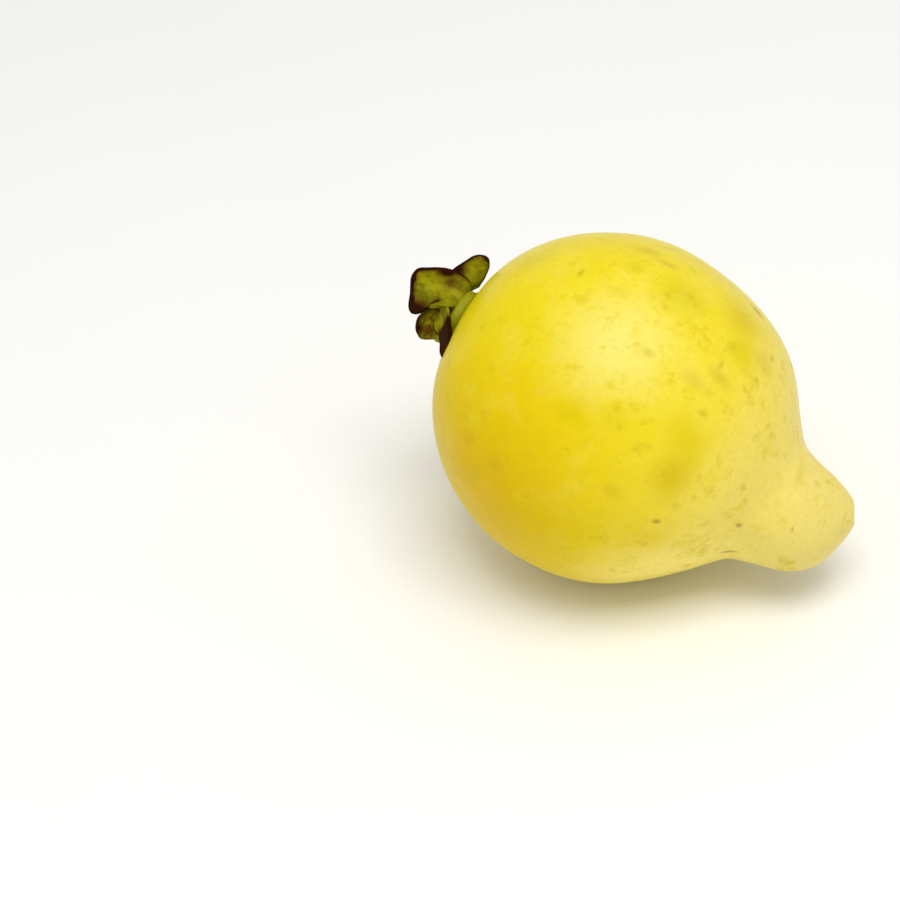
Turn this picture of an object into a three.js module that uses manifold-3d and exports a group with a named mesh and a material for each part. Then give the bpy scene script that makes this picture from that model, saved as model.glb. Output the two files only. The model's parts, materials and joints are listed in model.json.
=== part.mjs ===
// A ripe pear-shaped guava, as picked, lying on its side on a small flat spot of its belly.
// The fruit is one grown body: a round bulk that draws in to a short blunt neck at its stem end, and
// that carries the low green collar of the old flower at the other. Five leathery sepals stand on
// the collar, and inside them are the dried ring of stamens and the dried style.
//
// Millimetres, +Z up. The origin is the centre of the flat spot, and the stem end points along +X.
// In the fruit's own frame the axis is X and the bulk's centre is the origin. In the crown's frame
// +Z points away from the fruit, and +X is the upper side of the fruit.

import * as THREE from "three";
import { mergeVertices } from "three/addons/utils/BufferGeometryUtils.js";
import Module from "manifold-3d";

const wasm = await Module();
wasm.setup();

const degrees = THREE.MathUtils.degToRad;

// Driving dimensions

const droop = degrees(22); // how far the stem end points down as the fruit lies
const flatDepth = 0.85; // how much of the belly the flat spot takes away
const gap = 0.3; // between pieces that touch

const bulk = { radius: 38.1, widest: -2.9 };
const collar = { radius: 6.0, wall: 1.5, foot: 39.4, height: 2.6, discDepth: 2.6 };
const neck = { tip: 56.6, shoulderRadius: 20.6, shoulderAt: 32.5, knobRadius: 13.7, knobAt: 43.2 };
const stemScar = { radius: 2.4, depth: 0.6 };
const collarRim = collar.foot + collar.height;

// The neck leans to one side of the fruit, which is also where the shoulder above it is fuller.
const leanSide = new THREE.Vector2(0.69, 0.724); // along Y and Z of the fruit's own frame
const neckBend = { start: 37, end: 48.3, angle: degrees(32) };
const shoulder = { at: 31.9, spread: 13.7, fullness: 0.07 };
const ribs = { count: 5, depth: 0.01, turn: 0.6 }; // they fade out towards the neck

const bodySides = 64;
const rowsPerCurve = 6;

// Each sepal follows a curve from its foot on the collar, past an elbow, to its tip. Both are given
// as [out from the axis, sideways, up from the collar]. It keeps its width up to its shoulder, and
// squareness says how bluntly it closes from there. Slant lets one edge run on further than the
// other, and a positive cup lifts both edges inwards.
const sepals = [
  {
    turn: 349, elbow: [8.4, 1.9, 3.8], tip: [4.7, -4.7, 9.9], foot: 5.8, width: 8.2,
    twist: -40, cup: -0.5, shoulder: 0.62, squareness: 4.2, slant: -0.6,
  },
  {
    turn: 48, elbow: [8.9, -0.7, 1.8], tip: [14.8, -1.6, 0.2], foot: 5.4, width: 7.6,
    twist: -66, cup: 1.4, shoulder: 0.2, squareness: 1.5, slant: 0,
  },
  {
    turn: 148, elbow: [7.1, -2.4, 2.4], tip: [8.3, -3.4, 6.3], foot: 6.4, width: 7.2,
    twist: 14, cup: 1.4, shoulder: 0.35, squareness: 2.2, slant: 0.2,
  },
  {
    turn: 236, elbow: [5.4, 1.2, 2.0], tip: [4.6, 3.0, 6.2], foot: 5.0, width: 7.6,
    twist: 70, cup: 0.9, shoulder: 0.4, squareness: 2.4, slant: 0.1,
  },
  {
    turn: 291, elbow: [13.3, 0.4, -1.3], tip: [12.5, -4.7, -2.6], foot: 4.6, width: 5.6,
    twist: 12, cup: 0.3, shoulder: 0.2, squareness: 1.6, slant: 0,
  },
];
const blade = { thickness: 1.3, tipThickness: 0.8, footShare: 0.4, across: 8, along: 10 };

const stamenRing = { radius: 3.4, wall: 0.8, height: 0.8 };
const filaments = { count: 11, length: 2.2, radius: 0.3, spread: degrees(20) };
const style = { footRadius: 0.9, tipRadius: 0.4, length: 4.2, lean: 1.1 };

// Helpers

function toManifold(geometry) {
  const bare = geometry.clone();
  bare.deleteAttribute("normal");
  bare.deleteAttribute("uv");
  const merged = mergeVertices(bare, 1e-4);
  return new wasm.Manifold(
    new wasm.Mesh({
      numProp: 3,
      vertProperties: merged.attributes.position.array,
      triVerts: new Uint32Array(merged.index.array),
    }),
  );
}

function toGeometry(solid) {
  const mesh = solid.getMesh();
  const geometry = new THREE.BufferGeometry();
  geometry.setAttribute("position", new THREE.BufferAttribute(mesh.vertProperties, 3));
  geometry.setIndex(new THREE.BufferAttribute(mesh.triVerts, 1));
  geometry.computeVertexNormals();
  return geometry;
}

function mapVertices(geometry, move) {
  const position = geometry.attributes.position;
  const point = new THREE.Vector3();
  for (let i = 0; i < position.count; i++) {
    move(point.fromBufferAttribute(position, i));
    position.setXYZ(i, point.x, point.y, point.z);
  }
  return geometry;
}

// The fruit

// Half the fruit's outline, from the middle of the flower disc to the middle of the stem scar, as
// distance from the axis and place along it.
function fruitOutline() {
  const rimTop = -collarRim;
  const inner = collar.radius - collar.wall / 2;
  const outer = collar.radius + collar.wall / 2;
  const disc = rimTop + collar.discDepth;
  const foot = 0.1 - collar.foot;
  const scar = neck.tip - stemScar.depth;
  const outline = new THREE.Path();
  outline.moveTo(0, disc);
  outline.bezierCurveTo(3, disc, inner - 0.2, disc + 1.1, inner - 0.2, rimTop + 0.6);
  outline.bezierCurveTo(inner + 0.2, rimTop - 0.2, outer - 0.2, rimTop - 0.2, outer, rimTop + 0.8);
  outline.bezierCurveTo(outer, rimTop + 1.8, outer + 0.1, foot - 0.6, outer + 2.1, foot);
  outline.bezierCurveTo(24.7, -37.3, bulk.radius, -21.2, bulk.radius, bulk.widest);
  outline.bezierCurveTo(bulk.radius, 12.3, 32.1, 23.4, neck.shoulderRadius, neck.shoulderAt);
  outline.bezierCurveTo(16.4, 35.9, 14.2, 37.2, neck.knobRadius, neck.knobAt);
  outline.bezierCurveTo(13.2, 49.3, 3.6, neck.tip, stemScar.radius, neck.tip);
  outline.bezierCurveTo(1.6, neck.tip, 1.8, scar, 0, scar);
  return outline.getPoints(rowsPerCurve);
}

// Moves a point of the round fruit to where it grew: ribs, the full shoulder and the bent neck.
function grow(point) {
  const around = Math.atan2(point.y, point.z);
  const leanAround = Math.atan2(leanSide.x, leanSide.y);
  const onBelly = THREE.MathUtils.smoothstep(Math.hypot(point.y, point.z), 10, 30);
  const rib = ribs.depth * onBelly * Math.cos(ribs.count * around + ribs.turn);
  const nearShoulder = Math.exp(-(((point.x - shoulder.at) / shoulder.spread) ** 2));
  const scale = 1 + rib + shoulder.fullness * nearShoulder * Math.cos(around - leanAround);
  point.y *= scale;
  point.z *= scale;

  // Straight up to the bend's start, then an arc, then straight again.
  const bendRadius = (neckBend.end - neckBend.start) / neckBend.angle;
  const angle = THREE.MathUtils.clamp((point.x - neckBend.start) / bendRadius, 0, neckBend.angle);
  const past = Math.max(0, point.x - neckBend.end);
  const upper = point.y * leanSide.x + point.z * leanSide.y;
  const straight = Math.min(point.x, neckBend.start);
  const shift = (bendRadius - upper) * (1 - Math.cos(angle)) + past * Math.sin(angle);
  point.x = straight + (bendRadius - upper) * Math.sin(angle) + past * Math.cos(angle);
  point.y += shift * leanSide.x;
  point.z += shift * leanSide.y;
}

function grownFruit() {
  const round = new THREE.LatheGeometry(fruitOutline(), bodySides);
  round.rotateZ(-Math.PI / 2); // the lathe's axis becomes +X
  return mapVertices(round, grow);
}

// Takes away what would reach below the surface that the fruit lies on.
function cutFlat(geometry, lying) {
  const side = 4 * bulk.radius;
  const below = new THREE.BoxGeometry(side, side, side);
  below.translate(0, 0, -side / 2);
  below.applyMatrix4(lying.matrix.clone().invert());
  return toGeometry(toManifold(geometry).subtract(toManifold(below)));
}

// The box around what lies within a hair of the lowest point, once the fruit lies as it does.
function lowestPart(geometry, lying) {
  const placed = geometry.clone().applyMatrix4(lying.matrix);
  placed.computeBoundingBox();
  const lowest = placed.boundingBox.min.z;
  const found = new THREE.Box3();
  mapVertices(placed, (point) => {
    if (point.z < lowest + 0.001) found.expandByPoint(point);
  });
  return found;
}

// The sepals

function bladeHalfWidth({ foot, width, shoulder, squareness }, along) {
  // The tip stays a hair open, so that the blade ends in an edge and not in a point.
  const closing = THREE.MathUtils.clamp((0.98 * along - shoulder) / (1 - shoulder), 0, 1);
  const taper = Math.pow(1 - Math.pow(closing, squareness), 1 / squareness);
  return (THREE.MathUtils.lerp(foot, width, Math.sin(Math.PI * along)) / 2) * taper;
}

function sepalGeometry(sepal) {
  const { elbow, tip, foot, width, twist, cup, slant } = sepal;
  // A foot that leans out stands on its lower edge, so it is lifted by that much.
  const lean = Math.abs(Math.atan2(elbow[0] - collar.radius, elbow[2]));
  const lift = gap + (blade.thickness / 2) * Math.sin(lean);
  const start = new THREE.Vector3(collar.radius, 0, lift);
  const bends = [elbow, tip].map((place) => new THREE.Vector3(...place));
  const spine = new THREE.QuadraticBezierCurve3(start, ...bends);
  const footCup = foot ** 2 / 8 / collar.radius; // so that the foot follows the collar's circle
  const slab = new THREE.BoxGeometry(2, 1, 1, blade.across, 1, blade.along);
  return mapVertices(slab, (point) => {
    const { x: across, y: through } = point;
    const along = point.z + 0.5;
    const forward = spine.getTangent(along);
    // The foot stands level on the rim, and the blade squares up to its curve from there.
    const level = new THREE.Vector3(0, 1, 0);
    const square = level.clone().projectOnPlane(forward).normalize();
    const sideways = level.lerp(square, THREE.MathUtils.smoothstep(along, 0, blade.footShare));
    sideways.applyAxisAngle(forward, degrees(twist) * (1 - (1 - along) ** 3));
    const inward = new THREE.Vector3().crossVectors(forward, sideways);
    const thickness = THREE.MathUtils.lerp(blade.thickness, blade.tipThickness, along);
    const halfWidth = bladeHalfWidth(sepal, along);
    const reach = across * halfWidth;
    const edgeLift = THREE.MathUtils.lerp(footCup, cup, Math.sqrt(along)) * (halfWidth / (width / 2));
    const edgeThinning = 1 - 0.4 * across ** 2;
    point.copy(spine.getPoint(along));
    point.addScaledVector(sideways, reach);
    point.addScaledVector(forward, slant * reach * along);
    point.addScaledVector(inward, edgeLift * across ** 2 + through * thickness * edgeThinning);
  });
}

// What dried inside them

function stamenRingGeometry() {
  const inner = stamenRing.radius - stamenRing.wall / 2;
  const outer = stamenRing.radius + stamenRing.wall / 2;
  const section = [
    [inner, 0],
    [outer, 0],
    [outer, stamenRing.height],
    [inner, stamenRing.height],
    [inner, 0],
  ].map(([radius, height]) => new THREE.Vector2(radius, height));
  const ring = new THREE.LatheGeometry(section, 32);
  ring.rotateX(Math.PI / 2);
  let solid = toManifold(ring);
  for (let i = 0; i < filaments.count; i++) {
    const wayward = Math.sin(5.3 * i + 1);
    const filament = new THREE.ConeGeometry(filaments.radius, filaments.length, 6);
    filament.rotateX(Math.PI / 2);
    filament.translate(0, 0, filaments.length / 2);
    filament.rotateY(filaments.spread * wayward);
    filament.translate(stamenRing.radius, 0, stamenRing.height / 2);
    filament.rotateZ((2 * Math.PI * (i + 0.3 * wayward)) / filaments.count);
    solid = solid.add(toManifold(filament));
  }
  return toGeometry(solid);
}

function styleGeometry() {
  const stalk = new THREE.CylinderGeometry(style.tipRadius, style.footRadius, style.length, 12, 6);
  stalk.rotateX(Math.PI / 2);
  stalk.translate(0, 0, style.length / 2);
  return mapVertices(stalk, (point) => {
    point.x += style.lean * (point.z / style.length) ** 2;
  });
}

// Assembly

const skin = new THREE.MeshStandardMaterial({ color: 0xe6c62e, roughness: 0.42, metalness: 0 });
const sepalGreen = new THREE.MeshStandardMaterial({ color: 0x7f7b1d, roughness: 0.65, metalness: 0 });
const dried = new THREE.MeshStandardMaterial({ color: 0x4a2a14, roughness: 0.85, metalness: 0 });

function piece(name, geometry, material) {
  const mesh = new THREE.Mesh(geometry, material);
  mesh.name = name;
  return mesh;
}

const guava = new THREE.Group();

const lying = new THREE.Group();
guava.add(lying);
lying.rotation.y = droop;
lying.updateMatrix();
const grown = grownFruit();
lying.position.z = -lowestPart(grown, lying).min.z - flatDepth;
lying.updateMatrix();
const fruit = cutFlat(grown, lying);
const flatSpot = lowestPart(fruit, lying).getCenter(new THREE.Vector3());
lying.position.x = -flatSpot.x;
lying.position.y = -flatSpot.y;
lying.add(piece("fruit", fruit, skin));

const crown = new THREE.Group();
lying.add(crown);
crown.rotation.y = -Math.PI / 2;
crown.position.x = -collarRim;

sepals.forEach((sepal, index) => {
  const mesh = piece(`sepal_${index + 1}`, sepalGeometry(sepal), sepalGreen);
  mesh.rotation.z = degrees(sepal.turn);
  crown.add(mesh);
});

const stamens = piece("stamen_ring", stamenRingGeometry(), dried);
const styleStub = piece("style", styleGeometry(), dried);
for (const remnant of [stamens, styleStub]) {
  remnant.position.z = gap - collar.discDepth;
  crown.add(remnant);
}

export default guava;
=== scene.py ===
import json
import math
import bmesh
import bpy
import numpy as np
from mathutils import Matrix, Vector, noise
from mathutils.geometry import interpolate_bezier

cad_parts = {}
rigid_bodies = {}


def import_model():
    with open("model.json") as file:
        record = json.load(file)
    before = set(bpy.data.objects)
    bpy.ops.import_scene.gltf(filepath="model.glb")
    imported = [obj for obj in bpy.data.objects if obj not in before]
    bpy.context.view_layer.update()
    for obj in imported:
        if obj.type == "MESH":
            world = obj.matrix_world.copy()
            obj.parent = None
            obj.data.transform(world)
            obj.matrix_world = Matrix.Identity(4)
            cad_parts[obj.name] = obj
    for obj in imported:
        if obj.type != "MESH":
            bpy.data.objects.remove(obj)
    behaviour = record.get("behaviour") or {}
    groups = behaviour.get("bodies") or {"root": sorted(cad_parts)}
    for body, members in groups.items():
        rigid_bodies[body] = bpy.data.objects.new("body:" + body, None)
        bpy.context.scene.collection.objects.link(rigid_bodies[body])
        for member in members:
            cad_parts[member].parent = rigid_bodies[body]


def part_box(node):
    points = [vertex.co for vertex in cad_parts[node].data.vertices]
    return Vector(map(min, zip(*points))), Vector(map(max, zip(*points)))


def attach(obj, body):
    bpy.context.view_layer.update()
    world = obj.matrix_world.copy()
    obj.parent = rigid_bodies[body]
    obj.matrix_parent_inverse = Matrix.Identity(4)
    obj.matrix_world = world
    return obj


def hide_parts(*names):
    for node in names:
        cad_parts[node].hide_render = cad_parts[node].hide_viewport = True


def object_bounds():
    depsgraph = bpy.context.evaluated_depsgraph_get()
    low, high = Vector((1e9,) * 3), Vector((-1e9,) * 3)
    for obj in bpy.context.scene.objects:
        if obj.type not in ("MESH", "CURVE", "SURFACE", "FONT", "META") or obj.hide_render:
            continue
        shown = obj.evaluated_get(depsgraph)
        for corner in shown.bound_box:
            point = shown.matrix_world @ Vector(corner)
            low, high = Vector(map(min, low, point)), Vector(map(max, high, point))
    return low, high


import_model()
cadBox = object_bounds()
cadCentre = (cadBox[0] + cadBox[1]) / 2

# A ripe pear-shaped guava lying on its side. Lengths are in metres, written as so many mm.
mm = 0.001


def tint(red, green, blue):
    # screen values of 0 to 255 to the linear values that shaders take
    def linear(value):
        share = value / 255
        return share / 12.92 if share <= 0.04045 else ((share + 0.055) / 1.055) ** 2.4

    return (linear(red), linear(green), linear(blue), 1.0)


def addObject(name, data):
    thing = bpy.data.objects.new(name, data)
    bpy.context.scene.collection.objects.link(thing)
    return thing


def lookFrom(thing, place, target):
    turn = (target - place).to_track_quat("-Z", "Y")
    thing.matrix_world = Matrix.Translation(place) @ turn.to_matrix().to_4x4()


def finishMesh(name, points, faces, place, finish, **kept):
    # a closed mesh whose faces point outwards, with its place in its points; kept values stay with them
    mesh = bpy.data.meshes.new(name)
    mesh.from_pydata(points, [], faces)
    for label, values in kept.items():
        isVector = np.ndim(values) == 2
        attribute = mesh.attributes.new(label, "FLOAT_VECTOR" if isVector else "FLOAT", "POINT")
        attribute.data.foreach_set("vector" if isVector else "value", np.ravel(values).astype(np.float32))
    mesh.transform(place)
    work = bmesh.new()
    work.from_mesh(mesh)
    bmesh.ops.recalc_face_normals(work, faces=work.faces)
    work.to_mesh(mesh)
    work.free()
    mesh.shade_smooth()
    mesh.materials.append(finish)
    return addObject(name, mesh)


# camera

cameraView = {
    "azimuth": 23.27,
    "elevation": 37.97,
    "distance": 597.8 * mm,
    "lens": 109.75,
    "roll": -3.79,
    "aimAside": -39.64 * mm,  # the fruit lies in the right half of the picture
    "aimRaise": -7.8 * mm,
}


def makeCamera():
    azimuth = math.radians(cameraView["azimuth"])
    elevation = math.radians(cameraView["elevation"])
    level = Vector((math.sin(azimuth), -math.cos(azimuth), 0))
    back = level * math.cos(elevation) + Vector((0, 0, math.sin(elevation)))
    right = Vector((math.cos(azimuth), math.sin(azimuth), 0))
    aim = cadCentre + right * cameraView["aimAside"] + back.cross(right) * cameraView["aimRaise"]
    data = bpy.data.cameras.new("camera")
    data.lens = cameraView["lens"]
    camera = addObject("camera", data)
    lookFrom(camera, cadCentre + back * cameraView["distance"], aim)
    camera.matrix_world @= Matrix.Rotation(math.radians(cameraView["roll"]), 4, "Z")
    bpy.context.scene.camera = camera
    print("camera placed")


# node writing

class Wire:
    # an output of a node, which sums can be written with
    def __init__(self, socket):
        self.socket = socket

    def calc(self, operation, *others):
        node = self.socket.id_data.nodes.new("ShaderNodeMath")
        node.operation = operation
        for socket, value in zip(node.inputs, (self, *others)):
            feed(socket, value)
        return Wire(node.outputs[0])

    def __add__(self, other):
        return self.calc("ADD", other)

    def __sub__(self, other):
        return self.calc("SUBTRACT", other)

    def __mul__(self, other):
        return self.calc("MULTIPLY", other)

    def __truediv__(self, other):
        return self.calc("DIVIDE", other)

    def __rsub__(self, other):
        return self * -1 + other

    def __rtruediv__(self, other):
        return self.calc("POWER", -1.0) * other

    __radd__ = __add__
    __rmul__ = __mul__


def feed(socket, value):
    if isinstance(value, Wire):
        socket.id_data.links.new(value.socket, socket)
    else:
        socket.default_value = value


def pick(sockets, name):
    # some nodes keep one socket of a name for each type of value, all but one of them switched off
    if isinstance(name, int):
        return sockets[name]
    return next(socket for socket in sockets if socket.name == name and socket.enabled)


def addNode(tree, kind, inputs=None, output=0, **settings):
    node = tree.nodes.new(kind)
    for name, value in settings.items():
        setattr(node, name, value)
    for name, value in (inputs or {}).items():
        feed(pick(node.inputs, name), value)
    return Wire(pick(node.outputs, output))


def combine(tree, x, y, z):
    return addNode(tree, "ShaderNodeCombineXYZ", {"X": x, "Y": y, "Z": z})


def separate(vector):
    node = vector.socket.id_data.nodes.new("ShaderNodeSeparateXYZ")
    feed(node.inputs[0], vector)
    return [Wire(socket) for socket in node.outputs]


def vectorCalc(operation, first, second, output="Vector"):
    tree = first.socket.id_data
    name = "Scale" if operation == "SCALE" else 1
    return addNode(tree, "ShaderNodeVectorMath", {0: first, name: second}, output, operation=operation)


def between(value, low, high, toLow=0.0, toHigh=1.0):
    # rises smoothly from toLow to toHigh as the value goes from low to high
    inputs = {"Value": value, "From Min": low, "From Max": high, "To Min": toLow, "To Max": toHigh}
    return addNode(value.socket.id_data, "ShaderNodeMapRange", inputs, interpolation_type="SMOOTHSTEP")


def noiseAt(place, size, detail=2.0, roughness=0.5, seed=0.0):
    # noise of 0 to 1 whose lumps are about as wide as size
    inputs = {"Vector": place, "W": seed, "Scale": 1 / size, "Detail": detail, "Roughness": roughness}
    return addNode(place.socket.id_data, "ShaderNodeTexNoise", inputs, noise_dimensions="4D")


def mixTints(share, first, second):
    inputs = {0: share, 6: first, 7: second}
    return addNode(share.socket.id_data, "ShaderNodeMix", inputs, 2, data_type="RGBA")


def ramp(value, stops):
    # stops are (place, tint)
    node = value.socket.id_data.nodes.new("ShaderNodeValToRGB")
    feed(node.inputs[0], value)
    elements = node.color_ramp.elements
    while len(elements) < len(stops):
        elements.new(0.5)
    for element, (place, colour) in zip(elements, stops):
        element.position = place
        element.color = colour
    return Wire(node.outputs[0])


def startMaterial(name, **settings):
    material = bpy.data.materials.new(name)
    material.use_nodes = True
    tree = material.node_tree
    shader = tree.nodes["Principled BSDF"]
    for label, value in settings.items():
        shader.inputs[label.replace("_", " ")].default_value = value
    place = addNode(tree, "ShaderNodeTexCoord", output="Object")
    return material, shader, place


def meshValue(place, name, output="Fac"):
    return addNode(place.socket.id_data, "ShaderNodeAttribute", output=output, attribute_name=name)


def addBump(shader, height, distance, strength=1.0):
    tree = height.socket.id_data
    inputs = {"Height": height, "Distance": distance, "Strength": strength}
    if shader.inputs["Normal"].is_linked:
        inputs["Normal"] = Wire(shader.inputs["Normal"].links[0].from_socket)
    feed(shader.inputs["Normal"], addNode(tree, "ShaderNodeBump", inputs))


# Geometry Nodes that are run once and leave a plain mesh

socketKinds = {
    int: "NodeSocketInt",
    float: "NodeSocketFloat",
    Vector: "NodeSocketVector",
    bpy.types.Material: "NodeSocketMaterial",
}


def startTree(name, values):
    tree = bpy.data.node_groups.new(name, "GeometryNodeTree")
    tree.interface.new_socket("Geometry", in_out="INPUT", socket_type="NodeSocketGeometry")
    tree.interface.new_socket("Geometry", in_out="OUTPUT", socket_type="NodeSocketGeometry")
    for label, value in values.items():
        tree.interface.new_socket(label, in_out="INPUT", socket_type=socketKinds[type(value)])
    entry = tree.nodes.new("NodeGroupInput")
    return tree, {socket.name: Wire(socket) for socket in entry.outputs if socket.name}


def setPlaces(tree, geometry, **change):
    # the change is the points' new Position or their Offset
    return addNode(tree, "GeometryNodeSetPosition", {"Geometry": geometry, **change})


def storeValue(tree, geometry, label, value, kind="FLOAT"):
    storing = {"Geometry": geometry, "Name": label, "Value": value}
    return addNode(tree, "GeometryNodeStoreNamedAttribute", storing, data_type=kind)


def endTree(tree, geometry, finish):
    geometry = addNode(tree, "GeometryNodeSetShadeSmooth", {"Geometry": geometry})
    geometry = addNode(tree, "GeometryNodeRealizeInstances", {"Geometry": geometry})
    geometry = addNode(tree, "GeometryNodeSetMaterial", {"Geometry": geometry, "Material": finish})
    feed(tree.nodes.new("NodeGroupOutput").inputs[0], geometry)


def runTree(tree, name, source, values):
    holder = addObject(name + "Source", source)
    modifier = holder.modifiers.new("nodes", "NODES")
    modifier.node_group = tree
    for item in tree.interface.items_tree:
        if item.in_out == "INPUT" and item.name in values:
            modifier[item.identifier] = values[item.name]
    depsgraph = bpy.context.evaluated_depsgraph_get()
    made = holder.evaluated_get(depsgraph)
    mesh = bpy.data.meshes.new_from_object(made, preserve_all_data_layers=True, depsgraph=depsgraph)
    bpy.data.objects.remove(holder)
    return addObject(name, mesh)


# the fruit's body: an outline turned round its axis, then ribbed, filled out at the shoulder and bent

bulkRadius = 38.1 * mm
collar = {
    "radius": 6.0 * mm,
    "wall": 1.5 * mm,
    "foot": 39.4 * mm,
    "height": 2.6 * mm,
    "discDepth": 2.6 * mm,
}
neck = {
    "tip": 56.6 * mm,
    "shoulderRadius": 20.6 * mm,
    "shoulderAt": 32.5 * mm,
    "knobRadius": 13.7 * mm,
    "knobAt": 43.2 * mm,
}
stemScar = {"radius": 2.4 * mm, "depth": 0.6 * mm}
collarRim = collar["foot"] + collar["height"]
droop = math.radians(22)

bodyGrowth = {
    "sides": 340,
    "ribCount": 5.0,
    "ribDepth": 0.01,
    "ribTurn": 0.6,
    "ribStart": 10 * mm,  # the distances from the axis where the ribs set in and are whole
    "ribFull": 30 * mm,
    "shoulderPlace": 31.9 * mm,
    "shoulderSpread": 13.7 * mm,
    "shoulderFullness": 0.07,
    "leanAround": math.atan2(0.69, 0.724),
    "bendStart": 37 * mm,
    "bendEnd": 48.3 * mm,
    "bendAngle": math.radians(32),
    "bendSmoothing": 90,  # rounds of it on the inside of the bend, and how far past the bend they reach
    "smoothBefore": 6 * mm,
    "smoothAfter": 3 * mm,
    "droop": droop,
    "restHeight": 36.32 * mm,  # of the bulk's centre above the floor
    "flatBlend": 0.5 * mm,  # how softly the flat spot meets the skin
    "skinStart": -39.5 * mm,  # the places between which the ends' cork gives way to skin
    "skinFull": -33 * mm,
    "skinFades": 53 * mm,
    "skinEnd": 56.2 * mm,
    "swellDepth": 0.22 * mm,
    "swellSize": 17 * mm,
    "dimpleDepth": 0.045 * mm,
    "dimpleSize": 3.4 * mm,
    "corkDepth": 0.16 * mm,
    "corkSize": 1.3 * mm,
    "creasePlace": 42.8 * mm,
    "creaseWidth": 0.9 * mm,
    "creaseDepth": 0.16 * mm,
    "creaseAround": math.radians(-12),
    "seed": 7.0,
}


def outlineStretches():
    # half the outline after the middle of the flower disc, each stretch as two pulls, its end (place
    # along the axis and distance from it) and its number of rows
    rimTop = -collarRim
    inner = collar["radius"] - collar["wall"] / 2
    outer = collar["radius"] + collar["wall"] / 2
    disc = rimTop + collar["discDepth"]
    tip = neck["tip"]
    foot = 0.1 * mm - collar["foot"]
    scar = tip - stemScar["depth"]
    lip = 0.2 * mm
    return [
        ((disc, 3 * mm), (disc + 1.1 * mm, inner - lip), (rimTop + 0.6 * mm, inner - lip), 14),
        ((rimTop - lip, inner + lip), (rimTop - lip, outer - lip), (rimTop + 0.8 * mm, outer), 12),
        ((rimTop + 1.8 * mm, outer), (foot - 0.6 * mm, outer + 0.1 * mm), (foot, outer + 2.1 * mm), 10),
        ((-37.3 * mm, 24.7 * mm), (-21.2 * mm, bulkRadius), (-2.9 * mm, bulkRadius), 66),
        ((12.3 * mm, bulkRadius), (23.4 * mm, 32.1 * mm), (neck["shoulderAt"], neck["shoulderRadius"]), 58),
        ((35.9 * mm, 16.4 * mm), (37.2 * mm, 14.2 * mm), (neck["knobAt"], neck["knobRadius"]), 22),
        ((49.3 * mm, 13.2 * mm), (tip, 3.6 * mm), (tip, stemScar["radius"]), 34),
        ((tip, 1.6 * mm), (scar, 1.8 * mm), (scar, 0), 10),
    ]


def outlineMesh():
    start = (collar["discDepth"] - collarRim, 0)
    points = [Vector((*start, 0))]
    for firstPull, secondPull, end, rows in outlineStretches():
        corners = [Vector((*corner, 0)) for corner in (start, firstPull, secondPull, end)]
        points += interpolate_bezier(*corners, rows + 1)[1:]
        start = end
    mesh = bpy.data.meshes.new("outline")
    mesh.from_pydata(points, [(i, i + 1) for i in range(len(points) - 1)], [])
    return mesh


def turnOutline(tree, given):
    # a grid whose every column is the outline, with its points' places along the axis, their distances
    # from it and their angles around it
    size = {"Geometry": given["Geometry"]}
    rows = addNode(tree, "GeometryNodeAttributeDomainSize", size, "Point Count", component="MESH")
    counts = {"Vertices X": given["sides"] + 1, "Vertices Y": rows}
    grid = addNode(tree, "GeometryNodeFlipFaces", {"Mesh": addNode(tree, "GeometryNodeMeshGrid", counts)})
    index = addNode(tree, "GeometryNodeInputIndex")
    column = ((index + 0.5) / rows).calc("FLOOR")
    sampling = {
        "Geometry": given["Geometry"],
        "Value": addNode(tree, "GeometryNodeInputPosition"),
        "Index": index - column * rows,
    }
    sampled = addNode(tree, "GeometryNodeSampleIndex", sampling, data_type="FLOAT_VECTOR")
    axisPlace, girth, _ = separate(sampled)
    return grid, axisPlace, girth, column / given["sides"] * math.tau


def towards(angle, across, upward):
    # how far a way across the axis goes towards an angle around it
    return across * angle.calc("SINE") + upward * angle.calc("COSINE")


def growOutline(tree, given, axisPlace, girth, around):
    # ribs and the fuller shoulder
    onBelly = between(girth, given["ribStart"], given["ribFull"])
    rib = (around * given["ribCount"] + given["ribTurn"]).calc("COSINE") * given["ribDepth"] * onBelly
    fromShoulder = (axisPlace - given["shoulderPlace"]) / given["shoulderSpread"]
    nearShoulder = (fromShoulder * fromShoulder * -1).calc("EXPONENT")
    fullness = nearShoulder * given["shoulderFullness"] * (around - given["leanAround"]).calc("COSINE")
    radius = girth * (rib + fullness + 1)
    across = radius * around.calc("SINE")
    upward = radius * around.calc("COSINE")

    # the neck's bend: straight up to its start, then an arc, then straight again
    bendRadius = (given["bendEnd"] - given["bendStart"]) / given["bendAngle"]
    angle = ((axisPlace - given["bendStart"]) / bendRadius).calc("MAXIMUM", 0.0)
    angle = angle.calc("MINIMUM", given["bendAngle"])
    past = (axisPlace - given["bendEnd"]).calc("MAXIMUM", 0.0)
    arm = bendRadius - towards(given["leanAround"], across, upward)
    shift = arm * (1 - angle.calc("COSINE")) + past * angle.calc("SINE")
    along = axisPlace.calc("MINIMUM", given["bendStart"])
    along = along + arm * angle.calc("SINE") + past * angle.calc("COSINE")
    across = across + shift * given["leanAround"].calc("SINE")
    upward = upward + shift * given["leanAround"].calc("COSINE")
    return combine(tree, along, across, upward)


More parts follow.
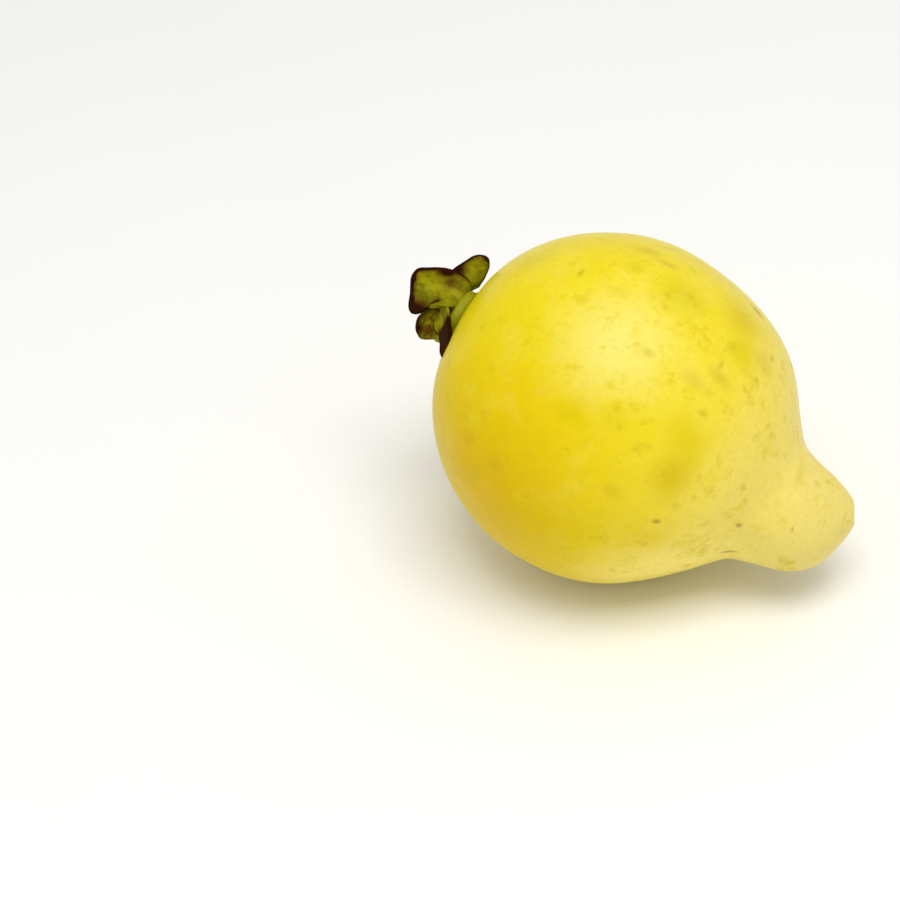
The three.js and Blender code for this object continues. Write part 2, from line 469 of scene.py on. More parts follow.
def layDown(tree, given, body):
    # turned on its side, and set where the frame's fruit lies
    turning = {"Vector": addNode(tree, "GeometryNodeInputPosition"), "Angle": given["droop"]}
    turned = addNode(tree, "ShaderNodeVectorRotate", turning, rotation_type="Y_AXIS")
    body = setPlaces(tree, body, Position=turned)
    lowest = separate(addNode(tree, "GeometryNodeBoundBox", {"Geometry": body}, "Min"))
    highest = separate(addNode(tree, "GeometryNodeBoundBox", {"Geometry": body}, "Max"))
    middle = separate(given["middle"])[:2]
    moves = [wanted - (low + high) / 2 for wanted, low, high in zip(middle, lowest, highest)]
    return setPlaces(tree, body, Offset=combine(tree, *moves, given["restHeight"]))


def smoothBend(tree, given, body, grewAlong, aroundSine, aroundCosine):
    # only on the inside of the bend, where the rows lie close together
    nearBend = between(grewAlong, given["bendStart"] - given["smoothBefore"], given["bendStart"])
    nearBend = nearBend * between(grewAlong, given["bendEnd"] + given["smoothAfter"], given["bendEnd"])
    nearBend = nearBend * between(towards(given["leanAround"], aroundSine, aroundCosine), 0.2, 0.8)
    position = addNode(tree, "GeometryNodeInputPosition")
    smoothing = {"Value": position, "Iterations": given["bendSmoothing"], "Weight": nearBend}
    smoothed = addNode(tree, "GeometryNodeBlurAttribute", smoothing, data_type="FLOAT_VECTOR")
    return setPlaces(tree, body, Position=smoothed)


def skinRelief(tree, given, grewAlong, aroundSine, aroundCosine):
    # the height of slow swellings, small dimples, a crease above the neck and the corky ends
    position = addNode(tree, "GeometryNodeInputPosition")
    skin = between(grewAlong, given["skinStart"], given["skinFull"])
    skin = skin * between(grewAlong, given["skinEnd"], given["skinFades"])
    seed = given["seed"]
    swell = (noiseAt(position, given["swellSize"], 1.0, seed=seed) - 0.5) * given["swellDepth"]
    dimple = (noiseAt(position, given["dimpleSize"], 1.5, seed=seed + 9) - 0.5) * given["dimpleDepth"]
    cork = (noiseAt(position, given["corkSize"], 3.0, seed=seed + 3) - 0.5) * given["corkDepth"]
    fromCrease = (grewAlong - given["creasePlace"]) / given["creaseWidth"]
    facing = between(towards(given["creaseAround"], aroundSine, aroundCosine), 0.93, 1.0)
    crease = (fromCrease * fromCrease * -1).calc("EXPONENT") * facing * given["creaseDepth"]
    return (swell + dimple) * skin * 2 + cork * (1 - skin) * 2 - crease


def bodyTree(values):
    tree, given = startTree("guavaGrowth", values)
    grid, axisPlace, girth, around = turnOutline(tree, given)
    ownPlace = growOutline(tree, given, axisPlace, girth, around)
    body = setPlaces(tree, grid, Position=ownPlace)

    # kept with each point: its place in the fruit's own frame and, for the skin's pattern, where on the
    # unbent fruit it grew and how far from the axis
    grewAt = combine(tree, axisPlace, around.calc("SINE"), around.calc("COSINE"))
    body = storeValue(tree, body, "ownPlace", ownPlace, "FLOAT_VECTOR")
    body = storeValue(tree, body, "grewAt", grewAt, "FLOAT_VECTOR")
    body = storeValue(tree, body, "girth", girth)
    body = addNode(tree, "GeometryNodeMergeByDistance", {"Geometry": body, "Distance": 0.0004 * mm})

    body = layDown(tree, given, body)
    kept = addNode(tree, "GeometryNodeInputNamedAttribute", {"Name": "grewAt"}, data_type="FLOAT_VECTOR")
    body = smoothBend(tree, given, body, *separate(kept))
    relief = skinRelief(tree, given, *separate(kept))
    outward = vectorCalc("SCALE", addNode(tree, "GeometryNodeInputNormal"), relief)
    body = setPlaces(tree, body, Offset=outward)

    # flattened where it rests
    x, y, z = separate(addNode(tree, "GeometryNodeInputPosition"))
    rested = combine(tree, x, y, z.calc("SMOOTH_MAX", 0.0, given["flatBlend"]))
    endTree(tree, setPlaces(tree, body, Position=rested), given["finish"])
    return tree


def makeBody(finish):
    low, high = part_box("fruit")
    values = {**bodyGrowth, "middle": (low + high) / 2, "finish": finish}
    body = runTree(bodyTree(values), "fruitBody", outlineMesh(), values)
    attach(body, "root")
    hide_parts("fruit")
    print("fruit body:", len(body.data.polygons), "faces")
    return body


def lyingFrame(body):
    # from the fruit's own frame, whose origin is the bulk's centre, to where it lies
    count = len(body.data.vertices)
    own = np.empty(count * 3)
    body.data.attributes["ownPlace"].data.foreach_get("vector", own)
    placed = np.empty(count * 3)
    body.data.vertices.foreach_get("co", placed)
    own = own.reshape(-1, 3)
    placed = placed.reshape(-1, 3)
    turn = Matrix.Rotation(droop, 3, "Y")
    shifts = placed - own @ np.array(turn).T
    untouched = placed[:, 2] > 5 * mm  # well above the flat spot
    return Matrix.Translation(np.median(shifts[untouched], axis=0)) @ turn.to_4x4()


# the sepals: leathery blades with thick rolled edges, each along a curve from the collar to its tip

blade = {
    "footThickness": 1.3 * mm,
    "thickness": 0.75 * mm,
    "gap": 0.3 * mm,
    "sunk": 0.2,  # share of its length that is grown into the collar
    "grownBy": 0.25,  # share of its length by which its roll and its crumples are whole
    "rows": 64,
    "rowCrowding": 1.6,  # how much closer the rows lie towards the tip
    "columns": 40,
    "raggedness": 0.07,
    "thinnestBead": 0.55,  # share of the edge bead's width that is left at the foot
    "crumpleDepth": 0.22 * mm,
    "crumpleSize": 2.4 * mm,
    "rollWidth": 1.1 * mm,
}

# Lengths are in millimetres and turns in degrees. Elbow and tip are places out from the crown's axis,
# sideways and up from the collar. A blade keeps its width up to its shoulder, and squareness says how
# bluntly it closes from there. Scorch is how dark its edge has dried. A blot is a dark spot at a share of
# the length and of the half width, with its reach and its strength.
sepals = [
    {"turn": 352, "elbow": (8.4, 1.9, 3.8), "tip": (4.7, -4.7, 9.9), "foot": 11.4, "width": 8.3,
     "footTwist": 0, "twist": -40, "cup": -0.5, "shoulder": 0.62, "squareness": 4.2, "slant": -0.45,
     "rim": 1.5, "roll": 0.5, "scorch": 1.0, "dryness": 0.26,
     "blots": [(0.52, 0.9, 2.4, 1), (0.92, -0.85, 3.0, 1), (0.56, -1.0, 2.6, 0.9), (0.4, 0.35, 3.0, 0.5)]},
    {"turn": 46, "elbow": (8.9, -0.7, 1.8), "tip": (14.8, -1.6, 0.2), "foot": 12.4, "width": 7.8,
     "footTwist": -30, "twist": -66, "cup": 1.4, "shoulder": 0.2, "squareness": 1.5, "slant": 0.0,
     "rim": 1.3, "roll": 0.1, "scorch": 0.95, "dryness": 0.1, "blots": [(0.42, -0.9, 2.8, 1)]},
    {"turn": 148, "elbow": (7.1, -2.4, 2.4), "tip": (8.3, -3.4, 6.3), "foot": 7.6, "width": 7.2,
     "footTwist": 0, "twist": 14, "cup": 1.4, "shoulder": 0.35, "squareness": 2.2, "slant": 0.2,
     "rim": 1.3, "roll": 0.3, "scorch": 0.8, "dryness": 0.35, "blots": [(0.9, 0.6, 2.4, 1)]},
    {"turn": 240, "elbow": (5.0, 1.2, 1.6), "tip": (4.2, 3.2, 6.0), "foot": 8.0, "width": 8.0,
     "footTwist": 20, "twist": 72, "cup": 0.9, "shoulder": 0.4, "squareness": 2.4, "slant": 0.1,
     "rim": 1.0, "roll": 0.2, "scorch": 0.5, "dryness": 0.5, "blots": [(0.8, -0.7, 2.2, 0.8)]},
    # the fifth blade is made almost black all over
    {"turn": 298, "elbow": (13.2, -1.2, -2.8), "tip": (11.9, -6.2, -4.2), "foot": 5.8, "width": 5.8,
     "footTwist": 0, "twist": 12, "cup": -0.2, "shoulder": 0.2, "squareness": 1.6, "slant": 0.0,
     "rim": 1.1, "roll": 0.1, "scorch": 1.0, "dryness": 0.9, "blots": []},
]


def unit(vectors):
    return vectors / np.maximum(np.linalg.norm(vectors, axis=-1, keepdims=True), 1e-12)


def waver(place, size, seed):
    return noise.noise(Vector(place) / size + Vector((seed, 0, 0)))


def bladeSpine(values, along):
    # the curve from foot to tip with its directions forward, sideways and inward, and its rough length
    elbow = np.array(values["elbow"]) * mm
    tip = np.array(values["tip"]) * mm
    leanOut = math.atan2(elbow[0] - collar["radius"], elbow[2])
    foot = np.array((collar["radius"], 0, blade["gap"] + blade["footThickness"] / 2 * math.sin(leanOut)))
    t = along[:, None]
    spine = (1 - t) ** 2 * foot + 2 * t * (1 - t) * elbow + t**2 * tip
    forward = unit((1 - t) * (elbow - foot) + t * (tip - elbow))
    level = np.array((0.0, 1.0, 0.0))
    sideways = unit(level - forward * (forward @ level)[:, None])
    turned = 1 - (1 - np.clip(t, 0, 1)) ** 3
    twist = np.radians(values["footTwist"] + (values["twist"] - values["footTwist"]) * turned)
    sideways = sideways * np.cos(twist) + np.cross(forward, sideways) * np.sin(twist)
    return spine, forward, sideways, np.cross(forward, sideways), np.linalg.norm(tip - foot)


def bladeWidths(values, along, across, seed):
    # half the width at each row, and how far to its side each point lies on the ragged blade
    width = values["width"] * mm
    footWidth = values["foot"] * mm
    closing = np.clip((along - values["shoulder"]) / (1 - values["shoulder"]), 0, 1)
    taper = (1 - closing ** values["squareness"]) ** (1 / values["squareness"])
    halfWidth = (footWidth + (width - footWidth) * np.sin(math.pi * np.clip(along, 0, 1))) / 2 * taper
    ragged = np.array([[1 + blade["raggedness"] * 2 * waver((a * 4, side, 0), 1, seed) for side in (0, 5)]
                       for a in along])
    return halfWidth, across * halfWidth[:, None] * np.where(across < 0, ragged[:, :1], ragged[:, 1:])


def edgeDistances(halfWidth, along, across, length):
    # the way to the nearer side or to the tip, run smoothly together at the corners
    toSide = (1 - np.abs(across)) * halfWidth[:, None]
    toTip = (1 - along)[:, None] * length * np.ones_like(across)
    distance = (np.maximum(toSide, 1e-9) ** -3 + np.maximum(toTip, 1e-9) ** -3) ** (-1 / 3)
    distance[toSide < 1e-8] = 0
    distance[-1] = 0
    return distance


def bladeThickness(values, along, distance):
    # a round bead runs along the edge, and the blade inside it thins from its foot
    thinnest = blade["thinnestBead"]
    bead = values["rim"] * mm * np.clip(thinnest + along, thinnest, 1)[:, None]
    thinning = (blade["footThickness"] - blade["thickness"]) * np.sqrt(np.clip(along, 0, 1))
    flat = (blade["footThickness"] - thinning)[:, None]
    rounded = 2 * np.sqrt(np.clip(distance * (bead - distance), 0, None))
    nearEdge = np.exp(-(((distance - bead / 2) / (0.55 * bead)) ** 2))
    return np.where(distance < bead / 2, rounded, flat + (bead - flat) * nearEdge)


def bladeBlots(values, along, across, length):
    halfWidth = values["width"] * mm / 2
    blots = np.zeros((len(along), len(across)))
    for blotAlong, blotAcross, reach, strength in values["blots"]:
        away = np.hypot((along - blotAlong)[:, None] * length, (across - blotAcross) * halfWidth)
        blots = np.maximum(blots, strength * (1 - away / (reach * mm)))
    return blots


def growBlade(values, seed):
    # the middle surface of a blade in the crown's frame, and for each of its points the normal, the
    # thickness and what its material reads
    across = np.sin(np.linspace(-1, 1, blade["columns"] + 1) * math.pi / 2)
    steps = np.linspace(0, 1, blade["rows"] + 1)
    along = 1 - (1 - steps) ** blade["rowCrowding"] * (1 + blade["sunk"])
    spine, forward, sideways, inward, length = bladeSpine(values, along)
    halfWidth, reach = bladeWidths(values, along, across, seed)
    distance = edgeDistances(halfWidth, along, across, length)

    fromFoot = np.clip(along, 0, 1)
    footCup = (values["foot"] * mm) ** 2 / 8 / collar["radius"]  # as hollow as the collar is round
    cup = footCup + (values["cup"] * mm - footCup) * np.sqrt(fromFoot)
    lift = (cup * halfWidth / (values["width"] * mm / 2))[:, None] * across**2
    grown = np.clip(along / blade["grownBy"], 0, 1)[:, None]
    roll = values["roll"] * mm * np.exp(-((distance / blade["rollWidth"]) ** 2)) * grown
    middle = spine[:, None] + sideways[:, None] * reach[..., None]
    middle += inward[:, None] * (lift - roll)[..., None]
    middle += forward[:, None] * (values["slant"] * reach * fromFoot[:, None])[..., None]

    normal = unit(np.cross(np.gradient(middle, axis=0), np.gradient(middle, axis=1)))
    normal[-1] = inward[-1]
    normal *= np.sign(np.sum(normal * inward[:, None], axis=-1, keepdims=True))
    crumple = np.array([[waver(point, blade["crumpleSize"], seed) for point in row] for row in middle])
    middle += normal * (crumple * blade["crumpleDepth"] * grown)[..., None]
    thickness = bladeThickness(values, along, distance)
    return middle, normal, thickness, distance, bladeBlots(values, along, across, length), along, across


def bladeFaces(outer, inner):
    # between the rows of either side, then across the foot; at the tip the rows close to one point
    strips = [*zip(outer, outer[1:]), *zip(inner, inner[1:]), (outer[0], inner[0])]
    faces = []
    for lower, upper in strips:
        for i in range(len(lower) - 1):
            corners = (lower[i], lower[i + 1], upper[i + 1], upper[i])
            faces.append(tuple(dict.fromkeys(int(corner) for corner in corners)))
    return faces


def makeSepal(number, values, crownFrame, finish):
    seed = 11.3 * number
    middle, normal, thickness, distance, blots, along, across = growBlade(values, seed)
    rows, columns = distance.shape
    points = []
    kept = []  # along, across, inner side, edge distance, blot

    def addPoint(row, column, side):
        offset = normal[row, column] * thickness[row, column] * (side - 0.5)
        points.append(middle[row, column] + offset)
        kept.append((along[row], across[column], side, distance[row, column], blots[row, column]))
        return len(points) - 1

    sides = []
    edge = {row: (addPoint(row, 0, 0.5), addPoint(row, columns - 1, 0.5)) for row in range(rows - 1)}
    summit = addPoint(rows - 1, columns // 2, 0.5)
    for side in (0, 1):
        index = np.full((rows, columns), summit)
        for row in range(rows - 1):
            index[row, 0], index[row, -1] = edge[row]
            index[row, 1:-1] = [addPoint(row, column, side) for column in range(1, columns - 1)]
        sides.append(index)

    place = crownFrame @ Matrix.Rotation(math.radians(values["turn"]), 4, "Z")
    return finishMesh(
        f"sepalBlade{number}", points, bladeFaces(*sides), place, finish,
        leafPlace=[point[:3] for point in kept],
        edgeDistance=[point[3] for point in kept],
        blot=[point[4] for point in kept],
        dryness=[values["dryness"]] * len(points),
        scorch=[values["scorch"]] * len(points),
    )


def sepalMaterial():
    look = {
        "green": tint(146, 140, 10),
        "shadeGreen": tint(104, 104, 6),
        "freckle": tint(176, 166, 40),
        "brown": tint(88, 54, 8),
        "edge": tint(40, 14, 0),
        "edgeWidth": 0.62 * mm,
        "edgeWander": 0.9 * mm,
        "speckSize": 0.9 * mm,
        "mottleSize": 3.2 * mm,
        "fibreSize": 0.55 * mm,
        "fibreDepth": 0.12 * mm,
        "mottleDepth": 0.5 * mm,
        "freckleShare": 0.6,
        "midribShare": 0.4,
        "haloShare": 0.7,  # brown beside the dark edge
        "blotShare": 0.75,
        "insideDryness": 0.35,
        "roughness": 0.66,
    }
    material, shader, place = startMaterial("sepalLeather", Specular_IOR_Level=0.03)
    alongBlade, acrossBlade, inside = separate(meshValue(place, "leafPlace", "Vector"))
    distance = meshValue(place, "edgeDistance")
    onBlade = between(alongBlade, 0.05, 0.3)
    dryness = meshValue(place, "dryness") * onBlade
    mottle = noiseAt(place, look["mottleSize"], 3.0, 0.6, seed=2.0)
    speck = noiseAt(place, look["speckSize"], 2.0, 0.6, seed=5.0)

    green = mixTints(between(mottle, 0.35, 0.68), look["green"], look["shadeGreen"])
    green = mixTints(between(speck, 0.5, 0.75) * look["freckleShare"], green, look["freckle"])
    midrib = between(acrossBlade.calc("ABSOLUTE"), 0.22, 0.04) * between(alongBlade, 0.95, 0.3)
    green = mixTints(midrib * look["midribShare"], green, look["freckle"])

    dried = between(mottle * 0.6 + speck * 0.4 + dryness, 0.92, 1.12)
    insideDried = inside * look["insideDryness"] * between(alongBlade, 0.0, 0.4)
    dried = (dried + insideDried).calc("MINIMUM", 1.0)
    leather = mixTints(dried, green, look["brown"])
    wander = (mottle - 0.5) * look["edgeWander"] + (speck - 0.5) * (look["edgeWander"] * 0.5)
    nearEdge = distance + wander
    darkened = meshValue(place, "scorch") * onBlade
    halo = between(nearEdge, look["edgeWidth"] * 1.9, look["edgeWidth"] * 0.9) * darkened
    rim = between(nearEdge, look["edgeWidth"] * 1.05, look["edgeWidth"] * 0.65) * darkened
    leather = mixTints(halo * look["haloShare"], leather, look["brown"])
    blot = meshValue(place, "blot")
    nearBlot = between(blot + (speck - 0.5) * 0.4, 0.0, 0.5)
    leather = mixTints(nearBlot * look["blotShare"], leather, look["brown"])
    blotted = between(blot + (speck - 0.5) * 0.3 + (mottle - 0.5) * 0.3, 0.25, 0.75)
    # blades with a dryness of 0.6 and more, only the fifth, are made almost black all over
    black = (rim + blotted * onBlade + between(dryness, 0.6, 0.9) * 0.85).calc("MINIMUM", 1.0)
    leather = mixTints(black, leather, look["edge"])
    feed(shader.inputs["Base Color"], leather)
    feed(shader.inputs["Roughness"], look["roughness"] - rim * 0.06 + (speck - 0.5) * 0.2)

    fibres = noiseAt(place, look["fibreSize"], 3.0, 0.6, seed=8.0)
    addBump(shader, fibres, look["fibreDepth"])
    addBump(shader, mottle + speck * 0.4, look["mottleDepth"], 0.6)
    return material


# what dried inside the crown: a ring of stamens and the style

stamens = {
    "count": 58,
    "ringRadius": 3.5 * mm,
    "ringWander": 0.45 * mm,
    "ringWall": 0.42 * mm,
    "filamentLength": 2.7 * mm,
    "filamentThickness": 0.11 * mm,
    "filamentBend": 0.7 * mm,
    "kneeHeight": 0.6,  # share of a filament's length at which it bends, and the tip's way back
    "tipBend": -0.6,
    "shortest": 0.45,
    "longest": 1.2,
    "antherSize": 0.24 * mm,
    "lumpSize": 0.8 * mm,
    "lumpiness": 1.6,
    "spread": math.radians(26),
    "seed": 4,
}


def randomValue(tree, low, high, seed):
    inputs = {"Min": low, "Max": high, "Seed": seed}
    return addNode(tree, "FunctionNodeRandomValue", inputs, "Value", data_type="FLOAT")


def circleCurve(tree, resolution, radius):
    return addNode(tree, "GeometryNodeCurvePrimitiveCircle", {"Resolution": resolution, "Radius": radius})


def joinParts(tree, *parts):
    joined = tree.nodes.new("GeometryNodeJoinGeometry")
    for part in parts:
        feed(joined.inputs[0], part)
    return Wire(joined.outputs[0])


def filamentShape(tree, given):
    # one bent filament with its anther
    bend = given["filamentBend"]
    length = given["filamentLength"]
    bending = {
        "Resolution": 5,
        "Start": Vector(),
        "Middle": combine(tree, bend, 0.0, length * given["kneeHeight"]),
        "End": combine(tree, bend * given["tipBend"], 0.0, length),
    }
    sweep = {
        "Curve": addNode(tree, "GeometryNodeCurveQuadraticBezier", bending),
        "Profile Curve": circleCurve(tree, 5, given["filamentThickness"]),
        "Fill Caps": True,
    }
    ball = {"Radius": given["antherSize"], "Subdivisions": 1}
    anther = {
        "Geometry": addNode(tree, "GeometryNodeMeshIcoSphere", ball),
        "Translation": bending["End"],
        "Scale": Vector((1, 0.7, 1.5)),
    }
    filament = addNode(tree, "GeometryNodeCurveToMesh", sweep)
    return joinParts(tree, filament, addNode(tree, "GeometryNodeTransform", anther))


def corkRing(tree, given):
    # the lumpy ring that the filaments stand on
    sweep = {
        "Curve": circleCurve(tree, 64, given["ringRadius"]),
        "Profile Curve": circleCurve(tree, 10, given["ringWall"]),
    }
    position = addNode(tree, "GeometryNodeInputPosition")
    lumps = (noiseAt(position, given["lumpSize"], 2.0) - 0.5) * given["ringWall"] * given["lumpiness"]
    outward = vectorCalc("SCALE", addNode(tree, "GeometryNodeInputNormal"), lumps)
    return setPlaces(tree, addNode(tree, "GeometryNodeCurveToMesh", sweep), Offset=outward)


def stamenTree(values):
    tree, given = startTree("driedStamens", values)
    circle = {"Vertices": given["count"], "Radius": given["ringRadius"]}
    feet = addNode(tree, "GeometryNodeMeshCircle", circle)
    wander = given["ringWander"]
    seed = given["seed"]
    strays = [randomValue(tree, wander * -1, wander, seed + turn) for turn in (1, 2)]
    feet = setPlaces(tree, feet, Offset=combine(tree, *strays, 0.0))

    x, y, _ = separate(addNode(tree, "GeometryNodeInputPosition"))
    spread = given["spread"]
    tilts = [randomValue(tree, spread * -1, spread, seed + turn) for turn in (3, 4)]
    standing = {
        "Points": feet,
        "Instance": filamentShape(tree, given),
        "Rotation": combine(tree, *tilts, y.calc("ARCTAN2", x) + tilts[0] * 3),
        "Scale": randomValue(tree, given["shortest"], given["longest"], seed + 5),
    }
    filaments = addNode(tree, "GeometryNodeInstanceOnPoints", standing)
    endTree(tree, joinParts(tree, corkRing(tree, given), filaments), given["finish"])
    return tree


def makeStamens(place, finish):
    values = {**stamens, "finish": finish}
    nothing = bpy.data.meshes.new("nothing")
    ring = runTree(stamenTree(values), "stamens", nothing, values)
    ring.data.transform(place)
    return ring


driedStyle = {
    "length": 4.2 * mm,
    "sunk": 0.3 * mm,
    "footRadius": 0.85 * mm,
    "tipRadius": 0.34 * mm,
    "knobRadius": 0.55 * mm,
    "knobAt": 0.93,  # shares of its length
    "knobSpread": 0.06,
    "closesFrom": 0.94,
    "closesOver": 0.061,
    "thinning": 0.6,
    "lean": 1.1 * mm,
    "rows": 26,
    "sides": 16,
    "shrivel": 0.16,
    "foldsAround": 1.6,
    "foldsAlong": 2.5,
}


def makeStyle(place, finish):
    style = driedStyle
    points = [(0, 0, -style["sunk"])]
    for row in range(style["rows"]):
        share = row / (style["rows"] - 1)
        fromKnob = (share - style["knobAt"]) / style["knobSpread"]
        knob = (style["knobRadius"] - style["tipRadius"]) * math.exp(-(fromKnob**2))
        pastEnd = max(0.0, (share - style["closesFrom"]) / style["closesOver"])
        closing = math.sqrt(max(0.0, 1 - pastEnd**2))
        thinning = (style["footRadius"] - style["tipRadius"]) * share ** style["thinning"]
        radius = (style["footRadius"] - thinning + knob) * closing
        for side in range(style["sides"]):
            angle = math.tau * side / style["sides"]
            x = math.cos(angle)
            y = math.sin(angle)
            around = (x * style["foldsAround"], y * style["foldsAround"], share * style["foldsAlong"])
            folded = radius * (1 + style["shrivel"] * waver(around, 1, 3.0))
            points.append((style["lean"] * share**2 + folded * x, folded * y, style["length"] * share))
    points.append((style["lean"], 0, style["length"] * 1.01))
    starts = [1 + row * style["sides"] for row in range(style["rows"])]
    rings = [[start + side for side in range(style["sides"])] for start in starts]
    last = len(points) - 1
    faces = []
    for side in range(style["sides"]):
        following = (side + 1) % style["sides"]
        faces.append((0, rings[0][following], rings[0][side]))
        faces.append((rings[-1][side], rings[-1][following], last))
        for below, above in zip(rings, rings[1:]):
            faces.append((below[side], below[following], above[following], above[side]))
    return finishMesh("driedStyle", points, faces, place, finish)


def driedMaterial():
    look = {
        "dark": tint(48, 24, 11),
        "light": tint(118, 76, 38),
        "grainSize": 0.5 * mm,
        "patchSize": 1.8 * mm,
    }
    material, shader, place = startMaterial("driedFlower", Roughness=0.82)
    grain = noiseAt(place, look["grainSize"], 3.0, 0.6)
    patch = noiseAt(place, look["patchSize"], 2.0)
    lighter = between(grain * 0.5 + patch * 0.5, 0.38, 0.66)
    feed(shader.inputs["Base Color"], mixTints(lighter, look["dark"], look["light"]))
    addBump(shader, grain, 0.1 * mm)
    return material


# the skin: gold at the flower end, cream at the neck, with soft patches, some of them painted highlight,
# reflection and shade, and small old marks

skinLook = {
    "goldPlace": -30 * mm,  # where along the axis the skin is quite gold and quite cream
    "creamPlace": 46 * mm,
    "ripening": [  # shares of the way to cream, and their tints
        (0.0, tint(229, 208, 12)),
        (0.44, tint(231, 210, 28)),
        (0.64, tint(231, 210, 54)),
        (0.8, tint(234, 213, 90)),
        (1.0, tint(229, 210, 113)),
    ],
    "wander": 24 * mm,
    "wanderSize": 22 * mm,
    "blotchSize": 8 * mm,
    "paleSize": 10.4 * mm,
    "mottleSize": 2.6 * mm,
    "grainSize": 1.3 * mm,
    "dotSpacing": 7 * mm,
    "dotReach": 1.6 * mm,
    "dotTint": tint(196, 168, 36),
    "dotShare": 0.55,
    "greenFray": (2.4 * mm, 1.6 * mm),  # by the blotches and by the mottling
    "discBrown": tint(92, 66, 26),
    "discEdge": (5.5 * mm, 5.0 * mm),  # distances from the axis
    "scarBrown": tint(164, 112, 52),
    "scarEdge": (2.7 * mm, 2.0 * mm),
    "scarFray": 1.2 * mm,
    "pithEdge": (1.1 * mm, 0.3 * mm),
    "pithShare": 0.7,
    "roughness": 0.34,
    "bareRoughness": 0.35,  # added on the disc and the scar
    "specular": 0.16,
    "goldSpecular": 0.06,
    "goldSide": (-14, -102),  # its middle, in mm along the axis and degrees around it
    "goldFade": (50 * mm, 20 * mm),
    "poreSize": 0.5 * mm,
    "poreDepth": 0.02 * mm,
    "mottleDepth": 0.12 * mm,
}

# each stain's tint, its share of it and what it sets in between: values of a noise, or for the two greens
# distances from the axis
stains = {
    "blotch": (tint(224, 204, 6), 0.5, 0.54, 0.7),
    "paleBlotch": (tint(236, 218, 92), 0.3, 0.5, 0.72),
    "grain": (tint(196, 168, 36), 0.16, 0.45, 0.7),
    "fleck": (tint(214, 190, 0), 0.3, 0.48, 0.64),
    "smudge": (tint(196, 168, 36), 0.34, 0.53, 0.68),
    "crownShade": (tint(142, 140, 14), 0.3, 13 * mm, 8.5 * mm),
    "crownGreen": (tint(142, 140, 14), 0.92, 9.4 * mm, 8.3 * mm),
}

# soft patches, among them a painted highlight, a painted reflection and painted shade, then small marks.
# Each is its place along the axis in mm and around it in degrees, the distance in mm that it reaches, its
# stretch, its tint and its share of it. A stretch over 1 draws it out along the axis, and one under 1
# around the fruit.
patchesAndPaintedLight = [
    # deeper, darker gold over the lower side: partly the skin's own colour, partly painted shade
    (-14, -102, 42, 1.0, (220, 183, 0), 1.0),
    # a pale cream patch where the softbox's highlight falls: a painted highlight
    (-5, -27, 20, 1.0, (232, 222, 116), 0.8),
    # a pale patch on the underside: painted reflection of the bright floor
    (27, -116, 19, 1.2, (248, 228, 112), 1.0),
    # a darker tan line in the crease above the neck: painted shade
    (43, -13, 5, 0.5, (212, 190, 84), 0.7),
    (-20, -7, 5.5, 1.0, (224, 206, 0), 0.8),
    (1, 0, 8, 1.2, (212, 196, 0), 0.95),
    (14, 12, 8.5, 1.0, (216, 192, 0), 0.9),
    (18, -2, 5.5, 1.0, (216, 198, 0), 0.9),
    (22, 5, 4, 1.0, (212, 190, 60), 0.8),
    (18, -56, 7, 1.0, (208, 182, 2), 0.85),
    (17, -42, 6, 1.3, (218, 196, 10), 0.8),
    (2, -49, 5, 1.2, (220, 198, 24), 0.7),
    (-6, -54, 5, 1.3, (218, 194, 0), 0.9),
    (20, -82, 6, 1.2, (224, 194, 2), 0.6),
]
marks = [
    (35, -72, 1.0, 1.0, (150, 112, 30), 0.75),
    (44, -63, 1.0, 0.4, (176, 128, 50), 0.6),
    (20, -75, 0.8, 1.6, (140, 120, 20), 0.7),
    (36, -106, 1.1, 2.0, (120, 112, 10), 0.75),
    (1, -25, 1.5, 1.5, (196, 176, 50), 0.6),
    (-20, -8, 1.4, 0.6, (188, 158, 0), 0.7),
    (-30, 0, 3.4, 1.4, (204, 188, 20), 0.4),
    (-11, 16, 2.6, 1.8, (206, 176, 0), 0.6),
    (-11, 2, 2.6, 1.3, (212, 192, 0), 0.7),
    (-6, 12, 1.8, 2.2, (200, 170, 36), 0.6),
    (-11, -11, 2.0, 2.2, (208, 188, 20), 0.4),
    (-2, -3, 1.5, 1.0, (200, 176, 0), 0.6),
    (-1, -8, 1.4, 1.0, (204, 180, 0), 0.55),
    (2, 2, 1.4, 1.4, (206, 178, 0), 0.5),
    (4, 0, 1.2, 1.0, (202, 176, 0), 0.45),
    (15, -4, 2.2, 1.0, (200, 178, 0), 0.55),
    (15, -13, 1.7, 0.45, (190, 164, 20), 0.6),
    (16, -17, 1.9, 2.2, (192, 168, 30), 0.5),
    (12, -24, 2.4, 1.8, (200, 178, 50), 0.45),
    (23, 12, 1.8, 0.5, (186, 156, 20), 0.6),
    (15, 30, 1.9, 1.6, (160, 116, 24), 0.75),
    (-15, -84, 2.6, 1.3, (190, 162, 10), 0.3),
    (-23, -85, 2.4, 1.0, (190, 152, 10), 0.3),
    (9, -69, 2.2, 1.6, (190, 166, 24), 0.35),
    (-12, 148, 2.2, 0.7, (160, 128, 30), 0.6),
    (8, 110, 1.3, 1.6, (150, 116, 30), 0.7),
    (28, 84, 1.5, 1.0, (160, 126, 40), 0.6),
    (-22, 64, 2.8, 1.4, (190, 170, 20), 0.5),
]


def fromSpot(grewAt, along, around, stretch):
    # the distance on the skin from a spot, which a stretch makes shorter one way
    places, girths = zip(*[part[-2] for part in outlineStretches()])
    radius = float(np.interp(along * mm, places, girths))
    angle = math.radians(around)
    scale = Vector((1 / stretch, radius, radius))
    centre = Vector((along * mm, math.sin(angle), math.cos(angle)))
    away = vectorCalc("SUBTRACT", vectorCalc("MULTIPLY", grewAt, scale), centre * scale)
    return vectorCalc("LENGTH", away, Vector(), "Value")


